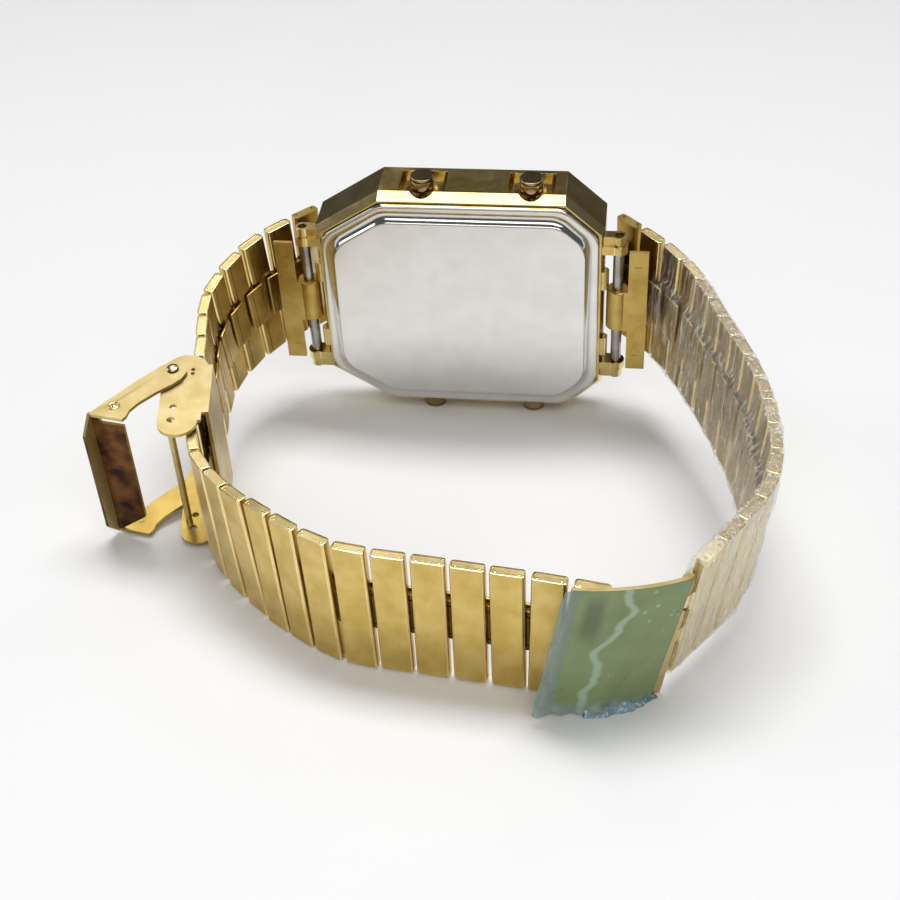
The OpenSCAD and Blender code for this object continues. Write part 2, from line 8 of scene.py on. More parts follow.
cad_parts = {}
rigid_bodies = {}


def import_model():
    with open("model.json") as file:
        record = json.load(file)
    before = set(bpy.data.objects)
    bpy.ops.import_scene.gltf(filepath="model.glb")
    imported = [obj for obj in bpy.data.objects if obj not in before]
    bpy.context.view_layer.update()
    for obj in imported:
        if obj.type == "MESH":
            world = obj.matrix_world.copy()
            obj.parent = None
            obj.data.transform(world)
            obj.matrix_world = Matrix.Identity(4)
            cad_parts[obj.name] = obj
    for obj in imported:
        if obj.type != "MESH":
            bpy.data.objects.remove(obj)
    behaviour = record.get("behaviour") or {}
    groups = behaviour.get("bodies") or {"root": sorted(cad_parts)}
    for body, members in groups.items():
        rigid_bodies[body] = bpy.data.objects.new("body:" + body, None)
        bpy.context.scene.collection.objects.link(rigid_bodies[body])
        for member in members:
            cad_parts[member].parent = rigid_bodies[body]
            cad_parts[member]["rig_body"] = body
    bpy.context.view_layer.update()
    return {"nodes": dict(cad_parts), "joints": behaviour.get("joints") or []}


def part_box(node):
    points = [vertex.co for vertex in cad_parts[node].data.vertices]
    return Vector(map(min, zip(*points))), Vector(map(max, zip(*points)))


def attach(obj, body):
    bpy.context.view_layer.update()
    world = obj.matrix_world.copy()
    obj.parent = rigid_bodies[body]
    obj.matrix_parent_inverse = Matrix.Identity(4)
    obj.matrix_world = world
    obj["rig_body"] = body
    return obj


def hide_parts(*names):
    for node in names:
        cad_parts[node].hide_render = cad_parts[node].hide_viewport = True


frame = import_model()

mm = 0.001
nodes = frame["nodes"]
joints = {j["name"]: j for j in frame["joints"]}

# How the watch stands: lean on the table in degrees and shift in millimetres
stance = dict(lean=9.9, shift=(0.67, 27, 19.264))
caseFrame = (Matrix.Translation(Vector(stance["shift"]) * mm)
             @ Matrix.Rotation(math.radians(stance["lean"]), 4, "X") @ Matrix.Scale(mm, 4))


# Camera, floor and light
view = dict(place=(24.45, -174.79, 129.69), right=(0.99233, 0.11559, -0.0438),
            ahead=(-0.11536, 0.73872, -0.66407), up=(-0.0444, 0.66403, 0.74639),
            lens=61.6, sensor=36, nearest=0.005, farthest=10)


def setCamera():
    turn = caseFrame.to_3x3().normalized()
    right, ahead, up = [turn @ Vector(view[k]) for k in ("right", "ahead", "up")]
    camera = bpy.data.objects.new("camera", bpy.data.cameras.new("camera"))
    bpy.context.scene.collection.objects.link(camera)
    axes = Matrix((right, up, -ahead)).transposed().to_4x4()
    camera.matrix_world = Matrix.Translation(caseFrame @ Vector(view["place"])) @ axes
    camera.data.sensor_width = view["sensor"]
    camera.data.lens = view["lens"]
    camera.data.clip_start = view["nearest"]
    camera.data.clip_end = view["farthest"]
    bpy.context.scene.camera = camera


studio = dict(floorSize=3, floorTone=(0.85, 0.85, 0.852), worldTone=(0.95, 0.96, 1), worldPower=0.1)
# Soft boxes: place, what they point at, width and height in metres, power in watts
softBoxes = dict(
    overhead=dict(place=(0.03, 0.14, 0.75), aim=(0, 0, 0), size=(0.6, 0.24), power=4.5),
    front=dict(place=(0.1, -0.55, 0.5), aim=(0, -0.1, 0), size=(0.7, 0.4), power=2.4),
    left=dict(place=(-0.6, 0.05, 0.3), aim=(0, 0, 0.02), size=(0.3, 0.25), power=0.6),
    backLeft=dict(place=(-0.27, 0.47, 0.64), aim=(-0.05, 0, 0.02), size=(0.3, 0.17), power=0.25),
    backRight=dict(place=(0.2, 0.56, 0.58), aim=(0.05, 0, 0.02), size=(0.26, 0.16), power=0.24))


def setStudio():
    bm = bmesh.new()
    bmesh.ops.create_grid(bm, x_segments=2, y_segments=2, size=studio["floorSize"] / 2)
    mesh = bpy.data.meshes.new("floor")
    bm.to_mesh(mesh)
    floor = bpy.data.objects.new("floor", mesh)
    bpy.context.scene.collection.objects.link(floor)
    mesh.materials.append(floorPaper())
    for name, box in softBoxes.items():
        lamp = bpy.data.lights.new(name, "AREA")
        lamp.shape = "RECTANGLE"
        lamp.size, lamp.size_y = box["size"]
        lamp.energy = box["power"]
        holder = bpy.data.objects.new(name, lamp)
        bpy.context.scene.collection.objects.link(holder)
        aim = Vector(box["aim"]) - Vector(box["place"])
        holder.location = box["place"]
        holder.rotation_euler = aim.to_track_quat("-Z", "Y").to_euler()
    world = bpy.data.worlds.new("studio")
    world.use_nodes = True
    background = world.node_tree.nodes["Background"]
    background.inputs["Color"].default_value = (*studio["worldTone"], 1)
    background.inputs["Strength"].default_value = studio["worldPower"]
    bpy.context.scene.world = world
    bpy.context.scene.view_settings.view_transform = "Standard"
    print("floor and lamps set")


# Node helpers
def addNode(tree, kind, **sockets):
    node = tree.nodes.new(kind)
    for name, value in sockets.items():
        node.inputs[name].default_value = value
    return node


def joinSockets(tree, *pairs):
    for start, end in pairs:
        tree.links.new(start, end)


def mathNode(tree, operation, first, second):
    node = tree.nodes.new("ShaderNodeMath")
    node.operation = operation
    for socket, value in zip(node.inputs, (first, second)):
        if isinstance(value, (int, float)):
            socket.default_value = value
        else:
            tree.links.new(value, socket)
    return node.outputs[0]


def distanceFrom(tree, value, number):
    return mathNode(tree, "ABSOLUTE", mathNode(tree, "SUBTRACT", value, number), 0)


def mapValue(tree, value, low, high, toLow, toHigh):
    node = tree.nodes.new("ShaderNodeMapRange")
    tree.links.new(value, node.inputs["Value"])
    for name, number in (("From Min", low), ("From Max", high), ("To Min", toLow), ("To Max", toHigh)):
        node.inputs[name].default_value = number
    return node.outputs["Result"]


def mixTones(tree, factor, first, second):
    node = tree.nodes.new("ShaderNodeMix")
    node.data_type = "RGBA"
    tree.links.new(factor, node.inputs["Factor"])
    for socket, tone in ((node.inputs[6], first), (node.inputs[7], second)):
        if isinstance(tone, tuple):
            socket.default_value = (*tone, 1)
        else:
            tree.links.new(tone, socket)
    return node.outputs[2]


def startGroup(name, inputs, outputs):
    group = bpy.data.node_groups.new(name, "ShaderNodeTree")
    for label, kind, value in inputs:
        socket = group.interface.new_socket(label, in_out="INPUT", socket_type=kind)
        if value is not None:
            socket.default_value = value
    for label, kind in outputs:
        group.interface.new_socket(label, in_out="OUTPUT", socket_type=kind)
    return group, group.nodes.new("NodeGroupInput"), group.nodes.new("NodeGroupOutput")


# Lines of a brushed finish, long in x, with broad uneven patches under them
def brushGroup():
    group, start, end = startGroup("brushedLines",
        [("Coordinate", "NodeSocketVector", None), ("Fineness", "NodeSocketFloat", 6),
         ("Stretch", "NodeSocketFloat", 0.05)],
        [("Lines", "NodeSocketFloat"), ("Patches", "NodeSocketFloat")])
    parts = addNode(group, "ShaderNodeSeparateXYZ")
    bundle = addNode(group, "ShaderNodeCombineXYZ")
    lines = addNode(group, "ShaderNodeTexNoise", Scale=1, Detail=3, Roughness=0.6)
    patches = addNode(group, "ShaderNodeTexNoise", Scale=0.35, Detail=2, Roughness=0.5)
    along = mathNode(group, "MULTIPLY", start.outputs["Fineness"], start.outputs["Stretch"])
    joinSockets(group, (start.outputs["Coordinate"], parts.inputs[0]),
        (mathNode(group, "MULTIPLY", parts.outputs["X"], along), bundle.inputs["X"]),
        (mathNode(group, "MULTIPLY", parts.outputs["Y"], start.outputs["Fineness"]), bundle.inputs["Y"]),
        (mathNode(group, "MULTIPLY", parts.outputs["Z"], start.outputs["Fineness"]), bundle.inputs["Z"]),
        (bundle.outputs[0], lines.inputs["Vector"]),
        (start.outputs["Coordinate"], patches.inputs["Vector"]),
        (lines.outputs["Fac"], end.inputs["Lines"]), (patches.outputs["Fac"], end.inputs["Patches"]))
    return group


# Faint smears and fine scuffs left by handling
def handlingGroup():
    group, start, end = startGroup("handling",
        [("Coordinate", "NodeSocketVector", None), ("Size", "NodeSocketFloat", 0.5)],
        [("Smear", "NodeSocketFloat"), ("Scuff", "NodeSocketFloat")])
    size = start.outputs["Size"]
    smear = addNode(group, "ShaderNodeTexNoise", Detail=4, Roughness=0.55, Distortion=1.2)
    scuff = addNode(group, "ShaderNodeTexVoronoi", Randomness=1)
    scuff.feature = "DISTANCE_TO_EDGE"
    joinSockets(group, (start.outputs["Coordinate"], smear.inputs["Vector"]),
        (start.outputs["Coordinate"], scuff.inputs["Vector"]), (size, smear.inputs["Scale"]),
        (mathNode(group, "MULTIPLY", size, 2.5), scuff.inputs["Scale"]),
        (mapValue(group, smear.outputs["Fac"], 0.45, 0.7, 0, 1), end.inputs["Smear"]),
        (mapValue(group, scuff.outputs["Distance"], 0, 0.05, 1, 0), end.inputs["Scuff"]))
    return group


brushedLines = brushGroup()
handling = handlingGroup()


def newMaterial(name):
    material = bpy.data.materials.new(name)
    material.use_nodes = True
    tree = material.node_tree
    return material, tree, tree.nodes["Principled BSDF"]


# Where a pattern is measured: millimetres in the piece's own frame, or the object's
def patternPlace(tree, own):
    if own:
        place = tree.nodes.new("ShaderNodeAttribute")
        place.attribute_name = "grainPlace"
        return place.outputs["Vector"]
    place = tree.nodes.new("ShaderNodeTexCoord")
    mapping = addNode(tree, "ShaderNodeMapping", Scale=(1 / mm, 1 / mm, 1 / mm))
    tree.links.new(place.outputs["Object"], mapping.inputs["Vector"])
    return mapping.outputs["Vector"]


def useGroup(tree, group, place, **sockets):
    node = tree.nodes.new("ShaderNodeGroup")
    node.node_tree = group
    for name, value in sockets.items():
        node.inputs[name].default_value = value
    tree.links.new(place, node.inputs["Coordinate"])
    return node


def bumpNode(tree, height, strength, distance, shader):
    bump = addNode(tree, "ShaderNodeBump", Strength=strength, Distance=distance * mm)
    joinSockets(tree, (height, bump.inputs["Height"]), (bump.outputs["Normal"], shader.inputs["Normal"]))


# Plated or bare metal with brushed lines, smears and uneven tone; turned lines run along z
def brushedMetal(name, light, dark, rough, lines=0.25, relief=0.04, own=True, turned=False):
    material, tree, shader = newMaterial(name)
    place = patternPlace(tree, own)
    if turned:
        quarter = addNode(tree, "ShaderNodeMapping", Rotation=(0, math.pi / 2, 0))
        tree.links.new(place, quarter.inputs["Vector"])
        place = quarter.outputs["Vector"]
    brush = useGroup(tree, brushedLines, place, Fineness=9, Stretch=0.05)
    touch = useGroup(tree, handling, place, Size=0.28)
    blendOf = mathNode(tree, "ADD", mathNode(tree, "MULTIPLY", brush.outputs["Lines"], lines),
                       mathNode(tree, "MULTIPLY", brush.outputs["Patches"], 1 - lines))
    tone = mixTones(tree, mapValue(tree, blendOf, 0.38, 0.62, 0, 1), dark, light)
    uneven = mapValue(tree, brush.outputs["Lines"], 0.3, 0.7, rough[0], rough[1])
    smear = mathNode(tree, "MULTIPLY", touch.outputs["Smear"], 0.06)
    joinSockets(tree, (tone, shader.inputs["Base Color"]),
        (mathNode(tree, "ADD", uneven, smear), shader.inputs["Roughness"]))
    bumpNode(tree, brush.outputs["Lines"], relief, 0.02, shader)
    shader.inputs["Metallic"].default_value = 1
    return material


def floorPaper():
    material, tree, shader = newMaterial("floorPaper")
    place = patternPlace(tree, False)
    touch = useGroup(tree, handling, place, Size=0.01)
    light = studio["floorTone"]
    dark = tuple(v * 0.985 for v in light)
    tree.links.new(mixTones(tree, touch.outputs["Smear"], light, dark), shader.inputs["Base Color"])
    shader.inputs["Roughness"].default_value = 0.6
    shader.inputs["Specular IOR Level"].default_value = 0.25
    return material


# Enamel, plastic or rubber with a fine grain
def paintedSurface(name, light, dark, rough, grain=3.0, relief=0.1, own=False):
    material, tree, shader = newMaterial(name)
    place = patternPlace(tree, own)
    fine = addNode(tree, "ShaderNodeTexNoise", Scale=grain, Detail=3, Roughness=0.6)
    tree.links.new(place, fine.inputs["Vector"])
    tone = mixTones(tree, mapValue(tree, fine.outputs["Fac"], 0.4, 0.6, 0, 1), dark, light)
    joinSockets(tree, (tone, shader.inputs["Base Color"]),
        (mapValue(tree, fine.outputs["Fac"], 0.3, 0.7, rough[0], rough[1]), shader.inputs["Roughness"]))
    bumpNode(tree, fine.outputs["Fac"], relief, 0.01, shader)
    return material


# Clear crinkled plastic wrap: nearly unseen, with sharp whitish streaks along its folds painted in as opaque
# colour, painted highlights where the folds catch the light
def clearWrap(name, veil):
    material, tree, shader = newMaterial(name)
    place = patternPlace(tree, True)
    stretch = addNode(tree, "ShaderNodeMapping", Scale=(1.3, 1, 0.09), Rotation=(0, 0.16, 0))
    creases = addNode(tree, "ShaderNodeTexNoise", Scale=1.5, Detail=4, Roughness=0.55, Distortion=0.8)
    ridges = addNode(tree, "ShaderNodeTexNoise", Scale=0.8, Detail=2, Roughness=0.5, Distortion=1.2)
    joinSockets(tree, (place, stretch.inputs["Vector"]),
        (stretch.outputs["Vector"], creases.inputs["Vector"]),
        (stretch.outputs["Vector"], ridges.inputs["Vector"]))
    offRidge = distanceFrom(tree, ridges.outputs["Fac"], 0.5)
    streak = mapValue(tree, creases.outputs["Fac"], 0.55, 0.66, 0, 1)
    ridge = mapValue(tree, offRidge, 0, 0.022, 1, 0)
    # Painted highlights: whitish opaque streaks and ridges along the folds
    white = mathNode(tree, "MAXIMUM", mathNode(tree, "MULTIPLY", streak, 0.55),
                     mathNode(tree, "MULTIPLY", ridge, 0.65))
    tone = mixTones(tree, white, (0.82, 0.78, 0.66), (1, 0.99, 0.96))
    joinSockets(tree, (tone, shader.inputs["Base Color"]),
        (mathNode(tree, "ADD", white, veil), shader.inputs["Alpha"]),
        (mapValue(tree, creases.outputs["Fac"], 0.3, 0.7, 0.05, 0.16), shader.inputs["Roughness"]))
    bumpNode(tree, creases.outputs["Fac"], 1, 0.5, shader)
    shader.inputs["Specular IOR Level"].default_value = 1
    return material


# Height of a soft spot round one place on the film, from 1 in its middle to 0 at its rim
def spotOn(tree, parts, x, z, halfX, halfZ):
    offX = distanceFrom(tree, parts.outputs["X"], x)
    offZ = distanceFrom(tree, parts.outputs["Z"], z)
    return mathNode(tree, "MULTIPLY", mapValue(tree, offX, halfX * 0.4, halfX, 1, 0),
                    mapValue(tree, offZ, halfZ * 0.4, halfZ, 1, 0))


# Marks on the film, in millimetres along and across the cover plate: streak, bubbles, smudge, loose rims
filmMarks = dict(streakAt=-2, streakLean=-0.17, streakSway=6, streakHalf=(0.25, 0.65),
                 bubbleAt=(3.4, 5.5, 4, 5), bubbleRadius=(0.12, 0.26), smudgeAt=(-4.2, 5, 1.5, 4),
                 looseLeft=(-7, -6), looseLow=(-9.1, -8.2))


# Sage green protective film with its marks, more see-through and bluer where it is loose
def tealFilm():
    material, tree, shader = newMaterial("tealFilm")
    place = patternPlace(tree, True)
    cloud = addNode(tree, "ShaderNodeTexNoise", Scale=0.2, Detail=3, Roughness=0.5, Distortion=0.4)
    wander = addNode(tree, "ShaderNodeTexNoise", Scale=0.24, Detail=2, Roughness=0.45)
    across = addNode(tree, "ShaderNodeMapping", Scale=(0, 1, 1))
    parts = addNode(tree, "ShaderNodeSeparateXYZ")
    bubbles = addNode(tree, "ShaderNodeTexVoronoi", Scale=0.75, Randomness=1)
    joinSockets(tree, (place, cloud.inputs["Vector"]), (place, across.inputs["Vector"]),
        (across.outputs["Vector"], wander.inputs["Vector"]), (place, parts.inputs[0]),
        (place, bubbles.inputs["Vector"]))
    wave = mathNode(tree, "SUBTRACT", wander.outputs["Fac"], 0.5)
    sway = mathNode(tree, "MULTIPLY", wave, filmMarks["streakSway"])
    drift = mathNode(tree, "MULTIPLY", parts.outputs["Z"], filmMarks["streakLean"])
    fromStreak = mathNode(tree, "ADD", parts.outputs["X"], -filmMarks["streakAt"])
    line = mathNode(tree, "ADD", fromStreak, mathNode(tree, "ADD", sway, drift))
    streak = mapValue(tree, mathNode(tree, "ABSOLUTE", line, 0), *filmMarks["streakHalf"], 1, 0)
    dots = mapValue(tree, bubbles.outputs["Distance"], *filmMarks["bubbleRadius"], 1, 0)
    few = spotOn(tree, parts, *filmMarks["bubbleAt"])
    light = mathNode(tree, "MAXIMUM", streak, mathNode(tree, "MULTIPLY", dots, few))
    smudge = spotOn(tree, parts, *filmMarks["smudgeAt"])
    base = mixTones(tree, mapValue(tree, cloud.outputs["Fac"], 0.35, 0.65, 0, 1),
                    (0.2, 0.27, 0.11), (0.25, 0.33, 0.15))
    marked = mixTones(tree, mathNode(tree, "MULTIPLY", smudge, 0.6), base, (0.07, 0.09, 0.04))
    loose = mathNode(tree, "MAXIMUM", mapValue(tree, parts.outputs["X"], *filmMarks["looseLeft"], 1, 0),
                     mapValue(tree, parts.outputs["Z"], *filmMarks["looseLow"], 1, 0))
    bluer = mixTones(tree, mathNode(tree, "MULTIPLY", loose, 0.85), marked, (0.3, 0.42, 0.4))
    tone = mixTones(tree, mathNode(tree, "MULTIPLY", light, 0.75), bluer, (0.42, 0.56, 0.42))
    joinSockets(tree, (tone, shader.inputs["Base Color"]),
        (mapValue(tree, cloud.outputs["Fac"], 0.3, 0.7, 0.25, 0.4), shader.inputs["Roughness"]))
    alpha = mathNode(tree, "SUBTRACT", 0.9, mathNode(tree, "MULTIPLY", loose, 0.4))
    tree.links.new(alpha, shader.inputs["Alpha"])
    bumpNode(tree, light, 0.3, 0.05, shader)
    return material


# Loose end of the film, rolled up: see-through blue with white creases
def crumpledFilm():
    material, tree, shader = newMaterial("crumpledFilm")
    place = patternPlace(tree, True)
    creases = addNode(tree, "ShaderNodeTexNoise", Scale=1.8, Detail=4, Roughness=0.6, Distortion=1)
    tree.links.new(place, creases.inputs["Vector"])
    white = mapValue(tree, creases.outputs["Fac"], 0.5, 0.66, 0, 1)
    tone = mixTones(tree, white, (0.33, 0.52, 0.6), (0.8, 0.9, 0.93))
    joinSockets(tree, (tone, shader.inputs["Base Color"]),
        (mapValue(tree, creases.outputs["Fac"], 0.3, 0.7, 0.08, 0.2), shader.inputs["Roughness"]),
        (mapValue(tree, white, 0, 1, 0.55, 0.9), shader.inputs["Alpha"]))
    bumpNode(tree, creases.outputs["Fac"], 0.9, 0.3, shader)
    return material


# Mineral glass of the crystal
def clearGlass():
    material, tree, shader = newMaterial("clearGlass")
    place = patternPlace(tree, False)
    touch = useGroup(tree, handling, place, Size=0.1)
    tree.links.new(mapValue(tree, touch.outputs["Smear"], 0, 1, 0.02, 0.06), shader.inputs["Roughness"])
    tree.links.new(mixTones(tree, touch.outputs["Smear"], (0.97, 0.98, 0.98), (0.94, 0.96, 0.96)),
                   shader.inputs["Base Color"])
    shader.inputs["Transmission Weight"].default_value = 1
    shader.inputs["IOR"].default_value = 1.5
    return material


# Light tone, dark tone and range of roughness of each finish
finishes = dict(
    plateGold=brushedMetal("plateGold", (0.72, 0.54, 0.19), (0.6, 0.43, 0.115), (0.26, 0.38), turned=True),
    # Lighter, smoother gold for edges, rims, dots and small parts: smoother as polish is, and lighter in tone
    # as a painted highlight
    edgeGold=brushedMetal("edgeGold", (0.88, 0.72, 0.38), (0.8, 0.62, 0.27), (0.14, 0.22), relief=0.02),
    # Darker copy of the plate gold: painted shade on the wrist side inside the loop, the connector bars, the
    # end pieces and the clasp's lower arm and cheek
    innerShadeGold=brushedMetal("innerShadeGold", (0.56, 0.4, 0.12), (0.44, 0.3, 0.07), (0.26, 0.36), turned=True),
    veiledGold=brushedMetal("veiledGold", (0.9, 0.81, 0.56), (0.82, 0.71, 0.44), (0.34, 0.46), turned=True),
    veiledCap=brushedMetal("veiledCap", (0.62, 0.47, 0.24), (0.44, 0.31, 0.13), (0.26, 0.36)),
    shadeGold=brushedMetal("shadeGold", (0.16, 0.1, 0.03), (0.09, 0.055, 0.018), (0.3, 0.42)),
    # Near-black brown gold: painted shade on the outward faces of the lever's cross plate
    shadedLeverGold=brushedMetal("shadedLeverGold", (0.15, 0.062, 0.018), (0.03, 0.009, 0.004), (0.24, 0.32),
                            lines=0.08),
    # Lighter gold of the recessed plate ends: a painted highlight
    capGold=brushedMetal("capGold", (0.84, 0.68, 0.34), (0.72, 0.56, 0.23), (0.24, 0.34), relief=0.02),
    sheetGold=brushedMetal("sheetGold", (0.62, 0.5, 0.25), (0.52, 0.4, 0.16), (0.3, 0.42), relief=0.02),
    caseGold=brushedMetal("caseGold", (0.66, 0.5, 0.21), (0.52, 0.38, 0.12), (0.14, 0.22), relief=0.02),
    pusherGold=brushedMetal("pusherGold", (0.42, 0.31, 0.16), (0.3, 0.21, 0.09), (0.1, 0.18), relief=0.01),
    backSteel=brushedMetal("backSteel", (0.77, 0.76, 0.73), (0.72, 0.71, 0.68), (0.09, 0.14), relief=0.01),
    barSteel=brushedMetal("barSteel", (0.42, 0.41, 0.4), (0.24, 0.235, 0.23), (0.14, 0.24), own=False),
    cellSteel=brushedMetal("cellSteel", (0.7, 0.69, 0.66), (0.62, 0.61, 0.59), (0.2, 0.3), own=False),
    blackRubber=paintedSurface("blackRubber", (0.02, 0.02, 0.02), (0.012, 0.012, 0.012), (0.5, 0.7)),
    frameResin=paintedSurface("frameResin", (0.09, 0.085, 0.08), (0.06, 0.058, 0.055), (0.4, 0.55)),
    dialGold=brushedMetal("dialGold", (0.78, 0.62, 0.33), (0.7, 0.54, 0.26), (0.3, 0.42), own=False),
    displayGrey=paintedSurface("displayGrey", (0.36, 0.39, 0.3), (0.33, 0.36, 0.27), (0.25, 0.35)),
    inkBlack=paintedSurface("inkBlack", (0.02, 0.02, 0.022), (0.014, 0.014, 0.016), (0.3, 0.45), own=True),
    blueFilm=crumpledFilm(),
    glass=clearGlass(),
    film=tealFilm(),
    thinWrap=clearWrap("thinWrap", 0.08),
    thickWrap=clearWrap("thickWrap", 0.24))
print("materials made")


# Mesh helpers. Weld and table gap are in millimetres, and the angles of flat, softened and sharp edges
# in degrees. A piece's pattern starts at its seed times the seed step.
meshing = dict(weld=0.0015, tableGap=0.03, flat=0.8, soften=32, sharp=38, seedStep=(3.7, 1.3, 31))


def bevelEdges(bm, edges, width, segments):
    bmesh.ops.bevel(bm, geom=edges, offset=width, affect="EDGES", segments=segments, profile=0.5,
                    material=-1)


# A box with its edges rounded, or only those along the axes named
def cornered(size, edge, segments=3, along="xyz"):
    bm = bmesh.new()
    bmesh.ops.create_cube(bm, size=1)
    bmesh.ops.scale(bm, vec=size, verts=bm.verts)
    axes = ["xyz".index(a) for a in along]
    runs = {e: e.verts[0].co - e.verts[1].co for e in bm.edges}
    edges = [e for e, run in runs.items() if any(abs(run[k]) > size[k] / 2 for k in axes)]
    bevelEdges(bm, edges, edge, segments)
    return bm


def rod(radius, low, high, edge=0.06, segments=20):
    bm = bmesh.new()
    bmesh.ops.create_cone(bm, cap_ends=True, segments=segments, radius1=radius, radius2=radius,
                          depth=high - low)
    moved(bm, (0, 0, (low + high) / 2))
    rims = [e for e in bm.edges if any(abs(f.normal.z) > 0.9 for f in e.link_faces)]
    bevelEdges(bm, rims, edge, 2)
    return bm


def moved(bm, place=(0, 0, 0), turn=0):
    bmesh.ops.rotate(bm, cent=(0, 0, 0), matrix=Matrix.Rotation(turn, 3, "Z"), verts=bm.verts)
    bmesh.ops.translate(bm, vec=place, verts=bm.verts)
    return bm


def paintFaces(faces, slot):
    for face in faces:
        face.material_index = slot


def painted(bm, slot):
    paintFaces(bm.faces, slot)
    return bm


# Turned over to the piece's other side, across the band
def mirrored(bm):
    bmesh.ops.scale(bm, vec=(1, 1, -1), verts=bm.verts)
    bmesh.ops.reverse_faces(bm, faces=bm.faces)
    return bm


def gathered(parts):
    whole = bmesh.new()
    spare = bpy.data.meshes.new("spare")
    for part in parts:
        part.to_mesh(spare)
        whole.from_mesh(spare)
        part.free()
    bpy.data.meshes.remove(spare)
    return whole


# Soft sheets lie on the table where they would reach below it
def restOnTable(bm, placing):
    back = placing.inverted()
    for vert in bm.verts:
        spot = placing @ vert.co
        if spot.z < meshing["tableGap"] * mm:
            vert.co = back @ Vector((spot.x, spot.y, meshing["tableGap"] * mm))


# Makes the mesh an object: pattern places kept as an attribute, then placed and shaded
def finishPiece(name, bm, placing, materials, body, replaced=(), seed=0.0, bevel=0.0):
    layer = bm.verts.layers.float_vector.new("grainPlace")
    shift = Vector([seed * step for step in meshing["seedStep"]])
    for vert in bm.verts:
        vert[layer] = vert.co + shift
    bm.transform(placing)
    if placing.determinant() < 0:
        bmesh.ops.reverse_faces(bm, faces=bm.faces)
    mesh = bpy.data.meshes.new(name)
    bm.to_mesh(mesh)
    bm.free()
    mesh.polygons.foreach_set("use_smooth", [True] * len(mesh.polygons))
    mesh.set_sharp_from_angle(angle=math.radians(meshing["sharp"]))
    for material in materials:
        mesh.materials.append(finishes[material])
    piece = bpy.data.objects.new(name, mesh)
    bpy.context.scene.collection.objects.link(piece)
    if bevel:
        soften = piece.modifiers.new("softEdges", "BEVEL")
        soften.width = bevel * mm
        soften.segments = 2
        soften.limit_method = "ANGLE"
        soften.angle_limit = math.radians(meshing["soften"])
        soften.use_clamp_overlap = True
    weighted = piece.modifiers.new("flatFaces", "WEIGHTED_NORMAL")
    weighted.keep_sharp = True
    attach(piece, body)
    if replaced:
        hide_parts(*replaced)
    return piece


# The same solid as a CAD node with its sharp edges softened
def softened(node, place, materials, width, seed=0.0):
    bm = bmesh.new()
    bm.from_mesh(nodes[node].data)
    for layer in list(bm.loops.layers.uv):
        bm.loops.layers.uv.remove(layer)
    bmesh.ops.remove_doubles(bm, verts=bm.verts, dist=meshing["weld"] * mm)
    bmesh.ops.dissolve_limit(bm, angle_limit=math.radians(meshing["flat"]), verts=bm.verts,
                             edges=bm.edges, use_dissolve_boundaries=False)
    painted(bm, 0)
    bm.transform(place.inverted())
    body = nodes[node]["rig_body"]
    return finishPiece(node + "_finished", bm, place, materials, body, (node,), seed, width)


# Bracelet plates, in each plate's own frame: x along the bracelet, y towards the wrist
plate = dict(pitch=4.46, length=4.0, thick=1.44, edge=0.42, hingeIn=0.35, bandHalf=9.8, taper=0.05,
             rim=0.16, rimEdge=0.07, recess=0.1, recessSlope=0.04, seam=0.95, seamWidth=0.09,
             seamDepth=0.16, seamSlope=0.005, dotPlace=(1.35, -0.2), dot=0.13, dotSunk=0.06,
             dotRise=0.04, veiledFrom=5)
hinge = dict(barrel=0.42, half=2.1, side=0.85, gap=0.14, pin=0.2, tab=(0.7, 0.6))
connector = dict(half=1.75, width=3.2, thick=0.45, rise=0.55, edge=0.18, seam=(0.1, 0.05),
                 seamPlace=0.7, seamIn=0.3, web=0.4, webIn=0.2, webRise=0.1)
# Slots of a plate: its flat faces, edges, recessed ends, wrist side in a darker painted shade, and shaded
# hinge, seams and webs
flatSlot, edgeSlot, capSlot, wristSlot, shadeSlot = range(5)
plateFinish = ["plateGold", "edgeGold", "capGold", "innerShadeGold", "shadeGold"]
veiledFinish = ["veiledGold", "edgeGold", "veiledCap", "innerShadeGold", "shadeGold"]
# Last plate and first pattern seed of each side, the plates that the slider holds, the frames once made
lastPlate = dict(a=25, b=17)
firstSeed = dict(a=0, b=40)
heldPlates = (9, 10, 11)
allFrames = {}


def hingeOf(side, i):
    name = "cover_swing" if (side == "a" and i == lastPlate["a"]) else f"{side}_{i:02d}_bend"
    return joints.get(name)


# Places and axes of one side's hinges, with those of the held plates shared out between their neighbours
def hingePoints(side):
    points = {}
    axes = {}
    for i in range(1, lastPlate[side] + 1):
        joint = hingeOf(side, i)
        if joint:
            points[i] = Vector(joint["pos_m"])
            axis = Vector(joint["axis"])
            axes[i] = axis if axis.z > 0 else -axis
    if side == "a":
        first, last = heldPlates[0] - 1, heldPlates[-1]
        for i in heldPlates[:-1]:
            points[i] = points[first].lerp(points[last], (i - first) / (last - first))
            axes[i] = axes[last]
    return points, axes


# Frame of a plate between two hinges, in millimetres
def plateFrame(start, end, axis, side):
    x = (end - start).normalized()
    z = (axis - axis.dot(x) * x).normalized()
    y = z.cross(x) if side == "a" else x.cross(z)
    z = x.cross(y)
    middle = (start + end) / 2 - y * plate["hingeIn"] * mm
    turn = Matrix((x * mm, y * mm, z * mm)).transposed().to_4x4()
    return Matrix.Translation(middle) @ turn


def plateFrames(side):
    points, axes = hingePoints(side)
    return {i: plateFrame(points[i - 1], points[i], axes[i], side) for i in points if i > 1}


